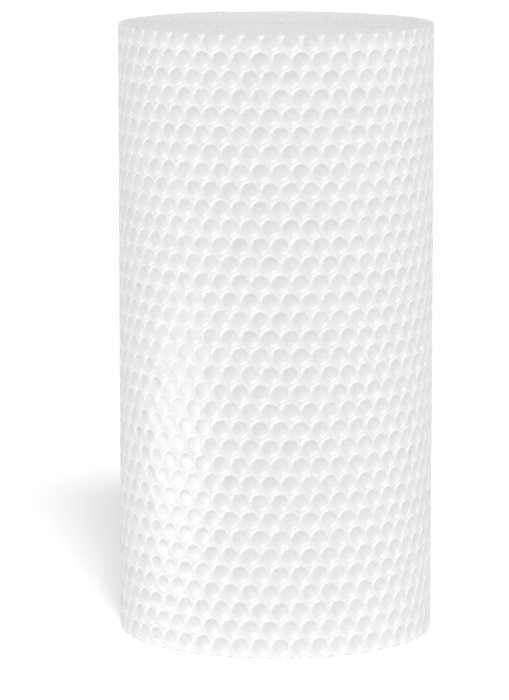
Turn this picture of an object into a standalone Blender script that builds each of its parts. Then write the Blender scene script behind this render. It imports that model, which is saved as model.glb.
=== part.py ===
"""A roll of bubble cushioning wrap, standing on its end.

One long sheet of film with small air bubbles is wound on itself, bubbles outwards, with no
core. The turns grip each other, so the roll is one solid. Its round side carries the rows of
bubbles of the outermost turn, its two flat ends show the turns as a spiral, and the sheet's
free edge lies on the turn below it at the back of the roll.

Z is the roll's axis, the origin is the middle of the lower end, and -Y is the front.
"""

import math

import bmesh
import bpy
from mathutils.geometry import delaunay_2d_cdt

# The roll, in metres
ROLL_DIAMETER = 0.157
SHEET_WIDTH = 0.3048
SHEET_THICKNESS = 0.00434

# The bubbles stand in rows around the roll, each row half a pitch along from the next
BUBBLE_PITCH = 0.00987
ROW_PITCH = 0.00896
BUBBLE_HEIGHT = 0.0039

# The free edge, as a turn from the front towards +X, and how far round the roll the turn
# above it takes to come down by one sheet: a share of the turn that grows towards the centre
FREE_EDGE_DEGREES = 199.5
STEP_DOWN_SHARE = 0.26
STEP_GROWTH_SHARE = 0.12

# The ends, where a groove runs between one turn and the next
GROOVE_DEPTH = 0.0019
TIGHT_CENTRE_RADIUS = 0.0085
LONGEST_CHORD = 0.0265
SIDES_OF_A_TURN = (8, 12, 18)

# The film
FILM_COLOUR = (0.80, 0.815, 0.83, 1.0)
FILM_ROUGHNESS = 0.3
SHARP_DEGREES = 50.0

# A bubble's cell is a hexagon, laid out on a grid of half pitches and thirds of a row
HALVES = 2
THIRDS = 3
ROLL_RADIUS = ROLL_DIAMETER / 2
ROWS = max(2, round(SHEET_WIDTH / ROW_PITCH))
COLUMNS = max(3, round(math.pi * ROLL_DIAMETER / BUBBLE_PITCH))
LAST_COLUMN = COLUMNS * HALVES
TOP_LEVEL = ROWS * THIRDS


def crown_radius(turns):
    """Radius of the bubbles' crowns, so many turns in from the free edge."""
    whole = math.floor(turns)
    share = min(1.0, STEP_DOWN_SHARE + whole * STEP_GROWTH_SHARE)
    along = max(0.0, (turns - whole - 1) / share + 1)
    stepped_down = along * along * (3 - 2 * along)
    return ROLL_RADIUS - SHEET_THICKNESS * (whole + stepped_down)


def film_radius(turns):
    """Radius of the flat film between the bubbles, so many turns in from the free edge."""
    return crown_radius(turns) - BUBBLE_HEIGHT


def on_roll(turns, radius):
    """X and Y of a point that lies so many turns in from the free edge."""
    angle = math.radians(FREE_EDGE_DEGREES) + turns * math.tau
    return radius * math.sin(angle), -radius * math.cos(angle)


class OuterTurn:
    """The grid of bubble cells that covers the round side of the roll."""

    def __init__(self, bm):
        self.bm = bm
        self.points = {}

    def point(self, column, level, crown=False):
        """The vertex at a grid place, made when it is first asked for."""
        if (column, level) not in self.points:
            turns = column / LAST_COLUMN
            radius = crown_radius(turns) if crown else film_radius(turns)
            x, y = on_roll(turns, radius)
            z = SHEET_WIDTH * level / TOP_LEVEL
            self.points[column, level] = self.bm.verts.new((x, y, z))
        return self.points[column, level]

    def bubble(self, column, level):
        """One cell: a crown in the middle and six low corners, fewer where the sheet was slit."""
        crown = self.point(column, level, crown=True)
        ring = [
            (column, level - 2),
            (column + 1, level - 1),
            (column + 1, level + 1),
            (column, level + 2),
            (column - 1, level + 1),
            (column - 1, level - 1),
        ]
        if level + 2 > TOP_LEVEL:
            slit = (column, TOP_LEVEL)
            cut_in_half = column in (0, LAST_COLUMN)
            ring = [slit if place[1] > TOP_LEVEL else place for place in ring]
            ring = [place for place in ring if place != slit or cut_in_half]
        for place, following in zip(ring, ring[1:] + ring[:1]):
            if all(0 <= c <= LAST_COLUMN for c in (place[0], following[0])):
                self.bm.faces.new((crown, self.point(*place), self.point(*following)))

    def bottom_fill(self, column):
        """The tip of a cell whose bubble lay beyond the lower slit."""
        left = max(0, column - 1)
        right = min(LAST_COLUMN, column + 1)
        self.bm.faces.new((self.point(left, 0), self.point(right, 0), self.point(column, 1)))

    def build(self):
        for row in range(ROWS):
            level = row * THIRDS + HALVES
            first = 1 - row % HALVES
            for column in range(first, LAST_COLUMN + 1, HALVES):
                self.bubble(column, level)
        for column in range(0, LAST_COLUMN + 1, HALVES):
            self.bottom_fill(column)

    def free_edge(self):
        """The cut end of the sheet, which stands one sheet proud of the turn below it."""
        levels = sorted(level for column, level in self.points if column == 0)
        for low, high in zip(levels, levels[1:]):
            self.bm.faces.new((
                self.point(LAST_COLUMN, low),
                self.point(0, low),
                self.point(0, high),
                self.point(LAST_COLUMN, high),
            ))

    def rim(self, level):
        """The vertices along one end, in order from the free edge round to its foot."""
        columns = sorted(column for column, at in self.points if at == level)
        return [self.points[column, level] for column in columns]


def sides_at(radius):
    """How many straight sides a turn of this radius is drawn with on the ends."""
    fine_enough = [n for n in SIDES_OF_A_TURN if math.tau * radius / n < LONGEST_CHORD]
    return (fine_enough + [SIDES_OF_A_TURN[-1]])[0]


def spiral_turns():
    """Places along the spiral of the ends, in turns in from the free edge, from its foot on."""
    places = []
    turn = 1
    while film_radius(turn + 1) > TIGHT_CENTRE_RADIUS:
        sides = sides_at(film_radius(turn))
        places += [turn + side / sides for side in range(sides)]
        turn += 1
    return places[1:] + [turn]


def chain(first, last):
    """Edges that join a run of numbered points."""
    return [(number, number + 1) for number in range(first, last)]


def end_face(bm, rim, outwards):
    """One end of the roll: the turns' edges lie level, with a groove between them."""
    flat = [vert.co.xy for vert in rim]
    height = rim[0].co.z
    spiral = spiral_turns()
    sheet_edge = [on_roll(turns, film_radius(turns)) for turns in spiral]
    groove = [
        on_roll(turns, film_radius(turns) - SHEET_THICKNESS / 2)
        for turns in spiral
        if turns < spiral[-1] - 1
    ]
    centre_sides = SIDES_OF_A_TURN[0]
    centre = [
        on_roll(side / centre_sides, TIGHT_CENTRE_RADIUS) for side in range(centre_sides)
    ]
    edge_from = len(flat)
    groove_from = edge_from + len(sheet_edge)
    centre_from = groove_from + len(groove)
    edges = chain(edge_from - 1, groove_from - 1)
    edges += chain(groove_from, centre_from - 1)
    edges += chain(centre_from, centre_from + centre_sides - 1)
    edges.append((centre_from + centre_sides - 1, centre_from))
    outline = list(range(edge_from))
    inside_outline = 1
    merge_distance = SHEET_THICKNESS / 1000
    places, _, faces, origins, _, _ = delaunay_2d_cdt(
        flat + sheet_edge + groove + centre, edges, [outline], inside_outline, merge_distance
    )
    verts = []
    for place, origin in zip(places, origins):
        if origin and origin[0] < edge_from:
            verts.append(rim[origin[0]])
            continue
        sunk = bool(origin) and groove_from <= origin[0] < centre_from
        z = height - outwards * GROOVE_DEPTH * sunk
        verts.append(bm.verts.new((place[0], place[1], z)))
    for face in faces:
        bm.faces.new([verts[number] for number in face[::outwards]])


def film_material():
    """Clear polythene that looks white because so many turns of it lie on each other."""
    material = bpy.data.materials.new("polythene_film")
    material.use_nodes = True
    shader = material.node_tree.nodes["Principled BSDF"]
    shader.inputs["Base Color"].default_value = FILM_COLOUR
    shader.inputs["Roughness"].default_value = FILM_ROUGHNESS
    shader.inputs["Metallic"].default_value = 0.0
    return material


def wrap_roll():
    """The whole roll as one closed mesh."""
    bm = bmesh.new()
    outer_turn = OuterTurn(bm)
    outer_turn.build()
    outer_turn.free_edge()
    end_face(bm, outer_turn.rim(0), -1)
    end_face(bm, outer_turn.rim(TOP_LEVEL), 1)
    mesh = bpy.data.meshes.new("bubble_wrap_roll")
    bm.to_mesh(mesh)
    bm.free()
    mesh.shade_smooth()
    mesh.set_sharp_from_angle(angle=math.radians(SHARP_DEGREES))
    mesh.materials.append(film_material())
    roll = bpy.data.objects.new("bubble_wrap_roll", mesh)
    bpy.context.collection.objects.link(roll)


for old in list(bpy.data.objects):
    bpy.data.objects.remove(old)
wrap_roll()
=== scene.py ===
import math
import random

import bmesh
import bpy
from mathutils import Matrix, Vector


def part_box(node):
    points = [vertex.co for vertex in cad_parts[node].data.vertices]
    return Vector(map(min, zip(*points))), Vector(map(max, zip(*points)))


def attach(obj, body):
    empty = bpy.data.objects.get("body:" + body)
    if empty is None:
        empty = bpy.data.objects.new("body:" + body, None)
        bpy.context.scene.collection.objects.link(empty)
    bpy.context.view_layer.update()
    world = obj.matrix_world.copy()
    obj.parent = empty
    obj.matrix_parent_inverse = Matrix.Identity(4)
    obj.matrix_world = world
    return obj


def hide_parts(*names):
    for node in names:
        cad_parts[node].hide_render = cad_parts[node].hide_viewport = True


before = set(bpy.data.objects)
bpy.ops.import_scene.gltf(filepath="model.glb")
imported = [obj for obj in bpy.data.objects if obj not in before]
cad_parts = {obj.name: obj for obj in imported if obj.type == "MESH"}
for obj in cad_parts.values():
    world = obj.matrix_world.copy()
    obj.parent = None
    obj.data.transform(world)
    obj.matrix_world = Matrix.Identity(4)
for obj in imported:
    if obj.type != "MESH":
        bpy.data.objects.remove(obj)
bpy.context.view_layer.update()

# The outer turn of the wrap. Bubble film is two polythene films: one is drawn hot into the
# pockets of a drum, which forms the bubbles, and a flat one is welded to its back. The last
# turn lies round the roll with its bubbles outwards, and both ends were slit straight.
ROLL_DIAMETER = 0.157
SHEET_THICKNESS = 0.00434
FREE_EDGE_DEGREES = 199.5
STEP_DOWN_SHARE = 0.26
STEP_GROWTH_SHARE = 0.12
BUBBLES_PER_TURN = 50
ROWS = 34

# A bubble's rings, from its dish outwards: how far they reach towards a side and towards a
# corner of its six-sided cell, how deep they lie, and how much they move with the dome
CELL_SIDES = 12
BUBBLE_RINGS = (
    (0.00215, 0.00220, 0.00036, 1.0),
    (0.00345, 0.00350, 0.00024, 1.0),
    (0.00408, 0.00415, 0.0, 1.0),
    (0.00456, 0.00490, 0.00012, 0.6),
)
DISH_DEPTH = 0.0004
SADDLE_DEPTH = 0.0002
PIT_DEPTH = 0.0005

# How the bubbles differ: how far one sinks, its tilt, its dish, and where its shoulder lies
SINK = 0.00012
TILT = 0.03
DISH_SPREAD = 0.3
SHOULDER_RADIUS = 0.0044
FIRST_ROW_SHARE = 2 / 3
BUBBLE_SEED = 11

FILM_GAUGE = 0.0003
END_RECESS = 0.0003
END_SLOPE = 0.0005
WELD = 0.00002
SHARP_DEGREES = 35.0

roll_low, roll_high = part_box("bubble_wrap_roll")
sheet_width = roll_high.z - roll_low.z
row_pitch = sheet_width / ROWS
turn_length = math.pi * ROLL_DIAMETER
bubble_pitch = turn_length / BUBBLES_PER_TURN


def crown_radius(turns):
    """Radius of the bubbles' crowns, so many turns in from the free edge."""
    whole = math.floor(turns)
    share = min(1.0, STEP_DOWN_SHARE + whole * STEP_GROWTH_SHARE)
    along = max(0.0, (turns - whole - 1) / share + 1)
    stepped_down = along * along * (3 - 2 * along)
    return ROLL_DIAMETER / 2 - SHEET_THICKNESS * (whole + stepped_down)


def on_roll(turns, radius, z):
    """The place on the wound roll of a point that lies so many turns in from the free edge."""
    angle = math.radians(FREE_EDGE_DEGREES) + turns * math.tau
    return Vector((radius * math.sin(angle), -radius * math.cos(angle), z))


def vertices_in(geometry):
    """The vertices among what an extrude gives back."""
    return [item for item in geometry if isinstance(item, bmesh.types.BMVert)]


def edges_in(geometry):
    """The edges among what an extrude gives back."""
    return [item for item in geometry if isinstance(item, bmesh.types.BMEdge)]


def drawn_from_rim(bm):
    """The new vertices of a strip that is drawn out from the open rim of a mesh."""
    rim = [edge for edge in bm.edges if edge.is_boundary]
    return vertices_in(bmesh.ops.extrude_edge_only(bm, edges=rim)["geom"])


def cell_side(vert):
    """Which of its cell's sides a vertex lies towards: even ones are flats, odd ones corners."""
    return round(math.atan2(vert.co.y, vert.co.x) / math.tau * CELL_SIDES)


def bubble_cell():
    """One flat six-sided cell of formed film: a dished bubble, its shoulder and the weld line."""
    bm = bmesh.new()
    dome = bm.verts.layers.float.new("dome")
    dish_radius = BUBBLE_RINGS[0][0]
    bmesh.ops.create_circle(bm, cap_ends=True, cap_tris=True, segments=CELL_SIDES, radius=dish_radius)
    middle = min(bm.verts, key=lambda vert: vert.co.length)
    middle.co.z = -DISH_DEPTH
    middle[dome] = 1.0
    ring = [vert for vert in bm.verts if vert != middle]
    for number, (side_reach, corner_reach, depth, dome_share) in enumerate(BUBBLE_RINGS):
        if number:
            ring = drawn_from_rim(bm)
        for vert in ring:
            reach = corner_reach if cell_side(vert) % 2 else side_reach
            across = vert.co.xy.normalized() * reach
            vert.co = (across.x, across.y, -depth)
            vert[dome] = dome_share
    for vert in drawn_from_rim(bm):
        corner = cell_side(vert) % 2
        reach = 1.0 if corner else math.cos(math.pi / 6)
        turned = cell_side(vert) * math.tau / CELL_SIDES
        vert.co.x = bubble_pitch / math.sqrt(3) * reach * math.cos(turned)
        vert.co.y = row_pitch * 2 / 3 * reach * math.sin(turned)
        vert.co.z = -PIT_DEPTH if corner else -SADDLE_DEPTH
        vert[dome] = 0.0
    bmesh.ops.recalc_face_normals(bm, faces=bm.faces)
    if sum(face.normal.z for face in bm.faces) < 0:
        bmesh.ops.reverse_faces(bm, faces=bm.faces)
    around = bm.loops.layers.uv.new("around_bubble")
    for face in bm.faces:
        for loop in face.loops:
            loop[around].uv = loop.vert.co.xy / bubble_pitch
    cell = bpy.data.meshes.new("bubble_cell")
    bm.to_mesh(cell)
    bm.free()
    return cell


def side_by_side(mesh, step, count):
    """So many copies of a mesh, one step apart, welded where they meet."""
    bm = bmesh.new()
    for _ in range(count):
        bm.from_mesh(mesh)
        mesh.transform(Matrix.Translation(step))
    bmesh.ops.remove_doubles(bm, verts=bm.verts, dist=WELD)
    return bm


def flat_film():
    """The sheet of one turn, laid flat: X along the turn, Y across the sheet, bubbles up."""
    row = bpy.data.meshes.new("bubble_row")
    bm = side_by_side(bubble_cell(), (bubble_pitch, 0, 0), BUBBLES_PER_TURN + 1)
    bm.to_mesh(row)
    bm.free()
    row.transform(Matrix.Translation((0, -row_pitch / 3, 0)))
    two_rows = bpy.data.meshes.new("two_bubble_rows")
    bm = side_by_side(row, (bubble_pitch / 2, row_pitch, 0), 2)
    bm.to_mesh(two_rows)
    bm.free()
    bm = side_by_side(two_rows, (0, 2 * row_pitch, 0), ROWS // 2 + 1)
    for place, outwards in (
        ((0, 0, 0), (-1, 0, 0)),
        ((turn_length, 0, 0), (1, 0, 0)),
        ((0, 0, 0), (0, -1, 0)),
        ((0, sheet_width, 0), (0, 1, 0)),
    ):
        everything = bm.verts[:] + bm.edges[:] + bm.faces[:]
        bmesh.ops.bisect_plane(
            bm, geom=everything, dist=WELD, plane_co=place, plane_no=outwards, clear_outer=True
        )
    return bm


def vary_bubbles(bm):
    """No two bubbles hold the same air: each is squashed, tilted and dished a little."""
    chance = random.Random(BUBBLE_SEED)
    dome = bm.verts.layers.float["dome"]
    tone = bm.verts.layers.float.new("tone")
    bubbles = {}
    for vert in bm.verts:
        row = round(vert.co.y / row_pitch - FIRST_ROW_SHARE)
        along = 0.5 if row % 2 == 0 else 0.0
        column = round(vert.co.x / bubble_pitch - along)
        if (row, column) not in bubbles:
            bubbles[row, column] = [chance.uniform(-1, 1) for _ in range(5)]
        squash, dish, tilt_x, tilt_y, shade = bubbles[row, column]
        offset_x = vert.co.x - (column + along) * bubble_pitch
        offset_y = vert.co.y - (row + FIRST_ROW_SHARE) * row_pitch
        depth = vert.co.z * (1 + DISH_SPREAD * dish)
        lowered = SINK * (1 + squash)
        tilted = TILT * (tilt_x * offset_x + tilt_y * offset_y)
        highest = TILT * SHOULDER_RADIUS * math.hypot(tilt_x, tilt_y)
        vert.co.z += vert[dome] * (depth - vert.co.z - lowered + tilted - highest)
        vert[tone] = 0.5 + 0.5 * shade * vert[dome]


def turn_in_the_end(bm, end, inwards):
    """Closes one end of the outer turn with its own gauge of film and a sunk flat face."""
    level = [edge for edge in bm.edges if all(abs(vert.co.z - end) < WELD for vert in edge.verts)]
    rim = [edge for edge in level if edge.is_boundary]
    film_edge = bmesh.ops.extrude_edge_only(bm, edges=rim)["geom"]
    for vert in vertices_in(film_edge):
        vert.co.xy -= vert.co.xy.normalized() * FILM_GAUGE
    sunk = bmesh.ops.extrude_edge_only(bm, edges=edges_in(film_edge))["geom"]
    for vert in vertices_in(sunk):
        vert.co.z += inwards * END_RECESS
        vert.co.xy -= vert.co.xy.normalized() * END_SLOPE
    bmesh.ops.triangle_fill(bm, edges=edges_in(sunk), use_beauty=True)


def wound_film():
    """The outer turn, rolled up, closed at its free edge and turned in at both ends."""
    bm = flat_film()
    vary_bubbles(bm)
    free_edge = []
    foot = []
    for edge in bm.edges:
        places = [vert.co.x for vert in edge.verts]
        if max(places) < WELD:
            free_edge.append(edge)
        if min(places) > turn_length - WELD:
            foot.append(edge)
    for vert in bm.verts:
        turns = vert.co.x / turn_length
        vert.co = on_roll(turns, crown_radius(turns) + vert.co.z, roll_low.z + vert.co.y)
    bmesh.ops.bridge_loops(bm, edges=free_edge + foot)
    turn_in_the_end(bm, roll_low.z, 1)
    turn_in_the_end(bm, roll_high.z, -1)
    bmesh.ops.recalc_face_normals(bm, faces=bm.faces)
    return bm


def piece_from(bm, name, material):
    """A finished piece, which rides on the roll and stands for its plain solid."""
    mesh = bpy.data.meshes.new(name)
    bm.to_mesh(mesh)
    bm.free()
    mesh.shade_smooth()
    mesh.set_sharp_from_angle(angle=math.radians(SHARP_DEGREES))
    mesh.materials.append(material)
    piece = bpy.data.objects.new(name, mesh)
    bpy.context.scene.collection.objects.link(piece)
    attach(piece, "root")
    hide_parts("bubble_wrap_roll")


def feed(tree, node, inputs):
    """Sets a node's inputs, and joins those that another node's output feeds."""
    for socket, value in inputs.items():
        if isinstance(value, bpy.types.NodeSocket):
            tree.links.new(value, node.inputs[socket])
        else:
            node.inputs[socket].default_value = value


def add_node(tree, kind, inputs, **settings):
    """A node with its own settings and its inputs fed."""
    node = tree.nodes.new(kind)
    for name, value in settings.items():
        setattr(node, name, value)
    feed(tree, node, inputs)
    return node


def sum_node(tree, operation, *values):
    """The result of a sum on one or two values."""
    return add_node(tree, "ShaderNodeMath", dict(enumerate(values)), operation=operation).outputs[0]


def between(tree, share, low, high):
    """A value that runs from low to high as the share runs from 0 to 1."""
    inputs = {"Value": share, "To Min": low, "To Max": high}
    return add_node(tree, "ShaderNodeMapRange", inputs).outputs["Result"]


def soft_step(tree, value, none_at, full_at):
    """A mask that comes up softly from 0 to 1 as the value goes from one place to another."""
    inputs = {"Value": value, "From Min": none_at, "From Max": full_at}
    step = add_node(tree, "ShaderNodeMapRange", inputs, interpolation_type="SMOOTHSTEP")
    return step.outputs["Result"]


def tinted(tree, below, mask, above):
    """One colour laid over another where the mask is."""
    inputs = {0: mask, 6: below, 7: above}
    return add_node(tree, "ShaderNodeMix", inputs, data_type="RGBA").outputs[2]


MOTTLE_SIZE = 45.0


def film_grain_group():
    """Soft wrinkles and a faint mottle, as stretched polythene has."""
    group = bpy.data.node_groups.new("film_grain", "ShaderNodeTree")
    group.interface.new_socket("Size", in_out="INPUT", socket_type="NodeSocketFloat")
    group.interface.new_socket("Wrinkles", in_out="OUTPUT", socket_type="NodeSocketFloat")
    group.interface.new_socket("Mottle", in_out="OUTPUT", socket_type="NodeSocketFloat")
    size = group.nodes.new("NodeGroupInput").outputs["Size"]
    result = group.nodes.new("NodeGroupOutput")
    place = add_node(group, "ShaderNodeTexCoord", {}).outputs["Object"]
    wrinkles = add_node(
        group,
        "ShaderNodeTexNoise",
        {"Vector": place, "Scale": size, "Detail": 3.0, "Distortion": 1.2},
    )
    mottle = add_node(
        group, "ShaderNodeTexNoise", {"Vector": place, "Scale": MOTTLE_SIZE, "Detail": 2.0}
    )
    feed(group, result, {"Wrinkles": wrinkles.outputs["Fac"], "Mottle": mottle.outputs["Fac"]})
    return group


film_grain = film_grain_group()

# The film's colours. The dish of a bubble is greyer than the ridges, partly because the turns below
# show through it and partly as painted shade, darkest at its upper left. Painted light lifts the
# dish's lower right, and a painted highlight lines the rim.
RIDGE_COLOURS = ((0.822, 0.821, 0.826, 1.0), (0.846, 0.844, 0.848, 1.0))
DISH_SEE_THROUGH_AND_SHADE_COLOURS = ((0.742, 0.747, 0.761, 1.0), (0.777, 0.774, 0.775, 1.0))
PAINTED_LIGHT_DISH_COLOUR = (0.85, 0.85, 0.85, 1.0)
RIM_HIGHLIGHT_COLOUR = (0.92, 0.92, 0.92, 1.0)
HIGHLIGHT_STROKE_COLOUR = (0.985, 0.985, 0.985, 1.0)
RIM_HIGHLIGHT_SHARE = 0.3
SPECKLE_BRIGHTNESS = (0.955, 1.015)
GLOSSY_ROUGHNESS = (0.28, 0.36)
MATT_ROUGHNESS = (0.58, 0.66)
FILM_IOR = 1.5
FILM_WRINKLES = 420.0
WRINKLE_HEIGHT = 0.0002

# Marks on every bubble, in pitches from its middle: the place, the half length and half
# width, the turn in degrees, and the share of it that is solid before it fades
DISH_MARK = ((0.0, 0.0), (0.455, 0.455), 0.0, 0.88)
# Painted light: a paler patch on the lower right of each dish
PAINTED_LIGHT_MARK = ((0.27, -0.27), (0.62, 0.62), 0.0, 0.0)
# Painted highlights: a white stroke on each bubble's upper-left shoulder and one inside its lower-right
# rim
UPPER_LEFT_HIGHLIGHT_MARK = ((-0.30, 0.35), (0.40, 0.40), 0.0, 0.5)
LOWER_RIGHT_HIGHLIGHT_MARK = ((0.21, -0.33), (0.25, 0.095), 32.0, 0.35)
# Where the painted highlight line round the rim lies and how it fades, in pitches
RIM_REACH = 0.465
RIM_FADES_AT = 0.11
RIM_SOLID_TO = 0.045
RAGGED_SIZE = 1000.0
RAGGED_SHIFT = 0.26


def film_mark(tree, on_bubble, place, size, turn_degrees, solid_share):
    """A soft oval mark on every bubble: 1 in its middle, 0 from its edge on."""
    oval = add_node(
        tree,
        "ShaderNodeMapping",
        {
            "Vector": on_bubble,
            "Location": (place[0], place[1], 0.0),
            "Rotation": (0.0, 0.0, math.radians(turn_degrees)),
            "Scale": (size[0], size[1], 1.0),
        },
        vector_type="TEXTURE",
    )
    reach = add_node(tree, "ShaderNodeVectorMath", {0: oval.outputs["Vector"]}, operation="LENGTH")
    return soft_step(tree, reach.outputs["Value"], 1.0, solid_share)


def shaken_place(tree, ragged):
    """The place round each bubble, shaken a little so that no mark has a ruled edge."""
    around = add_node(tree, "ShaderNodeUVMap", {}, uv_map="around_bubble")
    centred = add_node(
        tree,
        "ShaderNodeVectorMath",
        {0: ragged.outputs["Color"], 1: (0.5, 0.5, 0.5)},
        operation="SUBTRACT",
    )
    shift = {
        0: centred.outputs["Vector"],
        1: (RAGGED_SHIFT, RAGGED_SHIFT, 0.0),
        2: around.outputs["UV"],
    }
    shaken = add_node(tree, "ShaderNodeVectorMath", shift, operation="MULTIPLY_ADD")
    return shaken.outputs["Vector"]


def film_colour(tree, on_bubble, dish_mark, mottle):
    """Grey dish with painted shade and a painted light on its lower right, pale ridges, a painted
    highlight line round the rim and a painted white highlight stroke on either side of it.
    """
    tone = add_node(tree, "ShaderNodeAttribute", {}, attribute_name="tone")
    ridge = tinted(tree, RIDGE_COLOURS[0], mottle, RIDGE_COLOURS[1])
    # The dish's grey is partly the turns below showing through and partly painted shade, darkest at its
    # upper left
    dish = tinted(tree, DISH_SEE_THROUGH_AND_SHADE_COLOURS[0], tone.outputs["Fac"], DISH_SEE_THROUGH_AND_SHADE_COLOURS[1])
    # Painted light: the dish's lower right is lifted to a paler grey
    dish = tinted(tree, dish, film_mark(tree, on_bubble, *PAINTED_LIGHT_MARK), PAINTED_LIGHT_DISH_COLOUR)
    colour = tinted(tree, ridge, dish_mark, dish)
    reach = add_node(tree, "ShaderNodeVectorMath", {0: on_bubble}, operation="LENGTH")
    off_rim = sum_node(tree, "SUBTRACT", reach.outputs["Value"], RIM_REACH)
    rim_highlight_mask = soft_step(tree, sum_node(tree, "ABSOLUTE", off_rim), RIM_FADES_AT, RIM_SOLID_TO)
    # Painted highlight: the white stroke on the rim at the upper left
    upper_left_highlight = sum_node(tree, "MULTIPLY", rim_highlight_mask, film_mark(tree, on_bubble, *UPPER_LEFT_HIGHLIGHT_MARK))
    # Painted highlight: a paler line all round the rim
    colour = tinted(tree, colour, sum_node(tree, "MULTIPLY", rim_highlight_mask, RIM_HIGHLIGHT_SHARE), RIM_HIGHLIGHT_COLOUR)
    colour = tinted(tree, colour, upper_left_highlight, HIGHLIGHT_STROKE_COLOUR)
    # Painted highlight: the white stroke inside the rim at the lower right
    return tinted(tree, colour, film_mark(tree, on_bubble, *LOWER_RIGHT_HIGHLIGHT_MARK), HIGHLIGHT_STROKE_COLOUR)


def bubble_film():
    """Clear film that looks white over the turns below: glossy bubbles, matt pressed ridges."""
    film = bpy.data.materials.new("bubble_film")
    film.use_nodes = True
    tree = film.node_tree
    grain = add_node(tree, "ShaderNodeGroup", {"Size": FILM_WRINKLES}, node_tree=film_grain)
    object_place = add_node(tree, "ShaderNodeTexCoord", {}).outputs["Object"]
    ragged = add_node(
        tree, "ShaderNodeTexNoise", {"Vector": object_place, "Scale": RAGGED_SIZE, "Detail": 2.5}
    )
    on_bubble = shaken_place(tree, ragged)
    dish_mark = film_mark(tree, on_bubble, *DISH_MARK)
    colour = film_colour(tree, on_bubble, dish_mark, grain.outputs["Mottle"])
    speckle = add_node(
        tree,
        "ShaderNodeMapRange",
        {
            "Value": ragged.outputs["Fac"],
            "From Min": 0.3,
            "From Max": 0.7,
            "To Min": SPECKLE_BRIGHTNESS[0],
            "To Max": SPECKLE_BRIGHTNESS[1],
        },
    )
    speckled = add_node(
        tree,
        "ShaderNodeVectorMath",
        {0: colour, "Scale": speckle.outputs["Result"]},
        operation="SCALE",
    )
    glossy = between(tree, grain.outputs["Mottle"], *GLOSSY_ROUGHNESS)
    matt = between(tree, grain.outputs["Mottle"], *MATT_ROUGHNESS)
    wrinkled = add_node(
        tree,
        "ShaderNodeBump",
        {"Strength": 0.35, "Distance": WRINKLE_HEIGHT, "Height": grain.outputs["Wrinkles"]},
    )
    feed(tree, tree.nodes["Principled BSDF"], {
        "Base Color": speckled.outputs["Vector"],
        "Roughness": between(tree, dish_mark, matt, glossy),
        "IOR": FILM_IOR,
        "Subsurface Weight": 0.3,
        "Subsurface Scale": 0.0015,
        "Subsurface Radius": (1.0, 1.0, 1.0),
        "Normal": wrinkled.outputs["Normal"],
    })
    return film


piece_from(wound_film(), "outer_turn", bubble_film())

# The inner turns' edges, which show on both ends. Each turn is a flat backing film with the
# arches of slit bubbles standing on it, and it lies on the bubbles of the turn below, in to
# the hollow that is left where the winding began.
HOLLOW_RADIUS = 0.0045
ARCH_HEIGHT = 0.0039
LOWEST_ARCH_SHARE = 0.8
OUTER_ARCH_SHARE = 0.78
ARCH_SEED = 5
BACKING_SEGMENTS = 900
GAP_SIDES = 96
GAP_MARGIN = 0.0008

# One slit bubble, in shares of its pitch along the turn and of its height
ARCH_OUTLINE = (
    (0.0, 0.02),
    (0.1, 0.02),
    (0.15, 0.75),
    (0.22, 0.97),
    (0.4, 1.0),
    (0.6, 1.0),
    (0.78, 0.97),
    (0.85, 0.75),
    (0.9, 0.02),
    (1.0, 0.02),
)

# Depths below the roll's end, in shares of the recess that the outer turn leaves
ARCH_TOP = 0.08
GAP_TOP = 0.6
ARCH_FOOT = 1.05
GAP_FOOT = 1.2

EDGE_COLOURS = ((0.785, 0.792, 0.804, 1.0), (0.815, 0.820, 0.830, 1.0))
# Painted shade: the film seen between the turn edges is coloured darker for the depth of the gaps
GAP_SHADE_COLOUR = (0.710, 0.717, 0.730, 1.0)
EDGE_ROUGHNESS = (0.6, 0.72)
EDGE_SHINE = 0.15
EDGE_WRINKLES = 300.0


def slit_arch():
    """The edge of one slit bubble, upright as a strip, one unit along and one unit high."""
    bm = bmesh.new()
    last = len(ARCH_OUTLINE) - 1
    bmesh.ops.create_grid(bm, x_segments=last, y_segments=1, size=0.5)
    for vert in bm.verts:
        along, height = ARCH_OUTLINE[round((vert.co.x + 0.5) * last)]
        depth = ARCH_FOOT if vert.co.y < 0 else ARCH_TOP
        vert.co = (along, height, END_RECESS * depth)
    arch = bpy.data.meshes.new("slit_arch")
    bm.to_mesh(arch)
    bm.free()
    return arch


def slit_turns():
    """All the inner turns' slit edges, laid flat: X in turns, Y outwards, Z into the roll."""
    chance = random.Random(ARCH_SEED)
    arch = slit_arch()
    bm = bmesh.new()
    turns = 0.0
    while crown_radius(turns) - SHEET_THICKNESS > HOLLOW_RADIUS:
        width = bubble_pitch / (math.tau * crown_radius(turns))
        height = ARCH_HEIGHT * chance.uniform(LOWEST_ARCH_SHARE, 1.0)
        if turns < 1:
            height *= OUTER_ARCH_SHARE
        placed = arch.copy()
        placed.transform(Matrix.Translation((turns, 0, 0)) @ Matrix.Diagonal((width, height, 1, 1)))
        bm.from_mesh(placed)
        bpy.data.meshes.remove(placed)
        turns += width
    bmesh.ops.remove_doubles(bm, verts=bm.verts, dist=WELD)
    backing = bmesh.new()
    bmesh.ops.create_grid(backing, x_segments=BACKING_SEGMENTS, y_segments=1, size=0.5)
    for vert in backing.verts:
        depth = END_RECESS * ARCH_FOOT if vert.co.y < 0 else 0.0
        vert.co = ((vert.co.x + 0.5) * turns, 0.0, depth)
    backing_mesh = bpy.data.meshes.new("backing_edge")
    backing.to_mesh(backing_mesh)
    backing.free()
    bm.from_mesh(backing_mesh)
    return bm


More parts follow.
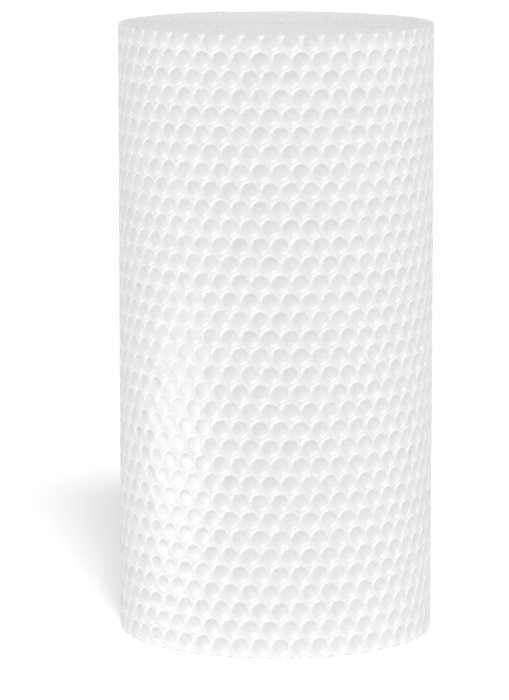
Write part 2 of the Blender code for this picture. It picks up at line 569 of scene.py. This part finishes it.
def fill_the_gaps(bm, end, inwards):
    """The film of the turns lower down, seen between the edges, as one thin spiral-edged disc."""
    gap = bm.verts.layers.float.new("gap")
    disc = bmesh.ops.create_circle(bm, cap_ends=True, segments=GAP_SIDES, radius=ROLL_DIAMETER / 2)
    for number, vert in enumerate(disc["verts"]):
        turns = number / GAP_SIDES if number else 1.0
        vert.co = on_roll(turns, crown_radius(turns) - GAP_MARGIN, end + inwards * END_RECESS * GAP_TOP)
        vert[gap] = 1.0
    faces = disc["verts"][0].link_faces[:]
    drawn_in = bmesh.ops.extrude_face_region(bm, geom=faces)["geom"]
    for vert in vertices_in(drawn_in):
        vert.co.z = end + inwards * END_RECESS * GAP_FOOT


def end_edges(end, inwards):
    """The slit edges of all the inner turns at one end, from the outer turn to the hollow."""
    bm = slit_turns()
    for vert in bm.verts:
        turns = vert.co.x
        radius = crown_radius(turns) - SHEET_THICKNESS + vert.co.y
        vert.co = on_roll(turns, radius, end + inwards * vert.co.z)
    bmesh.ops.recalc_face_normals(bm, faces=bm.faces)
    bmesh.ops.solidify(bm, geom=bm.faces[:], thickness=FILM_GAUGE)
    fill_the_gaps(bm, end, inwards)
    bmesh.ops.recalc_face_normals(bm, faces=bm.faces)
    return bm


def slit_film_edge():
    """The cut edge of the same film, duller than its face, with painted shade in the gaps between the
    turns.
    """
    edge_film = bpy.data.materials.new("slit_film_edge")
    edge_film.use_nodes = True
    tree = edge_film.node_tree
    grain = add_node(tree, "ShaderNodeGroup", {"Size": EDGE_WRINKLES}, node_tree=film_grain)
    gap = add_node(tree, "ShaderNodeAttribute", {}, attribute_name="gap")
    edge_colour = tinted(tree, EDGE_COLOURS[0], grain.outputs["Mottle"], EDGE_COLOURS[1])
    feed(tree, tree.nodes["Principled BSDF"], {
        "Base Color": tinted(tree, edge_colour, gap.outputs["Fac"], GAP_SHADE_COLOUR),
        "Roughness": between(tree, grain.outputs["Wrinkles"], *EDGE_ROUGHNESS),
        "IOR": FILM_IOR,
        "Specular IOR Level": EDGE_SHINE,
    })
    return edge_film


edge_film = slit_film_edge()
piece_from(end_edges(roll_high.z, -1), "top_turn_edges", edge_film)
piece_from(end_edges(roll_low.z, 1), "bottom_turn_edges", edge_film)

# The table that the roll stands on: a plain white sheet. It shows as white to the camera
# and in reflections where the light reaches it, and keeps the roll's soft shadow.
FLOOR_SIZE = 60.0
FLOOR_COLOUR = (0.80, 0.80, 0.80, 1.0)
FLOOR_LIFT = 0.365


def seen_directly(tree):
    """1 for a ray from the camera, a reflection or glass, and 0 for one that lights a thing."""
    rays = add_node(tree, "ShaderNodeLightPath", {}).outputs
    seen = sum_node(tree, "MAXIMUM", rays["Is Camera Ray"], rays["Is Glossy Ray"])
    return sum_node(tree, "MAXIMUM", seen, rays["Is Transmission Ray"])


def floor_paper():
    """Matt white paper, lifted to white where it is seen and not where it lights the roll."""
    paper = bpy.data.materials.new("floor_paper")
    paper.use_nodes = True
    tree = paper.node_tree
    feed(tree, tree.nodes["Principled BSDF"], {
        "Base Color": FLOOR_COLOUR,
        "Roughness": 0.9,
        "Specular IOR Level": 0.0,
        "Emission Color": (1.0, 1.0, 1.0, 1.0),
        "Emission Strength": sum_node(tree, "MULTIPLY", seen_directly(tree), FLOOR_LIFT),
    })
    return paper


bm = bmesh.new()
bmesh.ops.create_grid(bm, x_segments=2, y_segments=2, size=FLOOR_SIZE / 2)
mesh = bpy.data.meshes.new("floor")
bm.to_mesh(mesh)
bm.free()
mesh.transform(Matrix.Translation((0, 0, roll_low.z)))
mesh.materials.append(floor_paper())
floor = bpy.data.objects.new("floor", mesh)
bpy.context.scene.collection.objects.link(floor)

# The light: a white tent all round, a soft light high in front, which throws the shadow back
# and to the left, a broad fill at each side, and a low panel for the shine at the lower left.
TENT_COLOUR = (0.985, 0.992, 1.0, 1.0)
TENT_LIGHT = 0.15
TENT_SEEN = 1.0
ROLL_MIDDLE = (0, 0, 0.15)
SUN_DISTANCE = 2.0
FRONT_DIRECTION_DEGREES = 7.0
FRONT_HEIGHT_DEGREES = 42.0
FRONT_STRENGTH = 1.90
FRONT_SPREAD_DEGREES = 10.0
FILL_COLOUR = (0.978, 0.989, 1.0)
FILL_DIRECTION_DEGREES = 80.0
FILL_HEIGHT_DEGREES = 20.0
FILL_SPREAD_DEGREES = 60.0
LEFT_FILL_STRENGTH = 1.35
RIGHT_FILL_STRENGTH = 1.08
SHINE_DIRECTION_DEGREES = -75.0
SHINE_HEIGHT_DEGREES = 0.0
SHINE_PLACE = (-0.054, -0.057, 0.055)
SHINE_WIDTH = 0.17
SHINE_HEIGHT = 0.12
SHINE_DISTANCE = 0.2
SHINE_POWER = 0.30

world = bpy.data.worlds.new("tent")
bpy.context.scene.world = world
world.use_nodes = True
tree = world.node_tree
feed(tree, tree.nodes["Background"], {
    "Color": TENT_COLOUR,
    "Strength": between(tree, seen_directly(tree), TENT_LIGHT, TENT_SEEN),
})


def aimed_lamp(name, kind, direction_degrees, height_degrees, distance, target):
    """A lamp that shines at a point, placed by its direction from the front and its height."""
    data = bpy.data.lights.new(name, kind)
    lamp = bpy.data.objects.new(name, data)
    bpy.context.scene.collection.objects.link(lamp)
    across = math.radians(direction_degrees)
    up = math.radians(height_degrees)
    away = Vector((math.sin(across) * math.cos(up), -math.cos(across) * math.cos(up), math.sin(up)))
    lamp.location = Vector(target) + away * distance
    lamp.rotation_euler = away.to_track_quat("Z", "Y").to_euler()
    lamp.visible_camera = False
    return lamp


front = aimed_lamp(
    "front_light",
    "SUN",
    FRONT_DIRECTION_DEGREES,
    FRONT_HEIGHT_DEGREES,
    SUN_DISTANCE,
    ROLL_MIDDLE,
)
front.data.energy = FRONT_STRENGTH
front.data.angle = math.radians(FRONT_SPREAD_DEGREES)

for name, side, strength in (
    ("left_fill", -1, LEFT_FILL_STRENGTH),
    ("right_fill", 1, RIGHT_FILL_STRENGTH),
):
    direction = side * FILL_DIRECTION_DEGREES
    fill = aimed_lamp(name, "SUN", direction, FILL_HEIGHT_DEGREES, SUN_DISTANCE, ROLL_MIDDLE)
    fill.data.energy = strength
    fill.data.color = FILL_COLOUR
    fill.data.angle = math.radians(FILL_SPREAD_DEGREES)
    fill.data.use_shadow = False
    fill.visible_glossy = False

low = aimed_lamp(
    "low_light",
    "AREA",
    SHINE_DIRECTION_DEGREES,
    SHINE_HEIGHT_DEGREES,
    SHINE_DISTANCE,
    SHINE_PLACE,
)
low.data.shape = "RECTANGLE"
low.data.size = SHINE_WIDTH
low.data.size_y = SHINE_HEIGHT
low.data.energy = SHINE_POWER
low.visible_diffuse = False

# The camera, which looks a little down on the roll through a long lens. It is as far away and
# as high as the photograph's two ellipses put it.
CAMERA_DISTANCE = 2.0832
CAMERA_HEIGHT = 0.4699
LENS_MM = 216.1
SENSOR_MM = 36.0
CLIP_END = 100.0
TILT_DEGREES = 8.984
TURN_DEGREES = 0.295

camera_data = bpy.data.cameras.new("camera")
camera_data.lens = LENS_MM
camera_data.sensor_width = SENSOR_MM
camera_data.clip_end = CLIP_END
camera = bpy.data.objects.new("camera", camera_data)
bpy.context.scene.collection.objects.link(camera)
camera.location = (0.0, -CAMERA_DISTANCE, roll_low.z + CAMERA_HEIGHT)
camera.rotation_euler = (math.radians(90.0 - TILT_DEGREES), 0.0, math.radians(TURN_DEGREES))
bpy.context.scene.camera = camera
bpy.context.scene.view_settings.view_transform = "Standard"
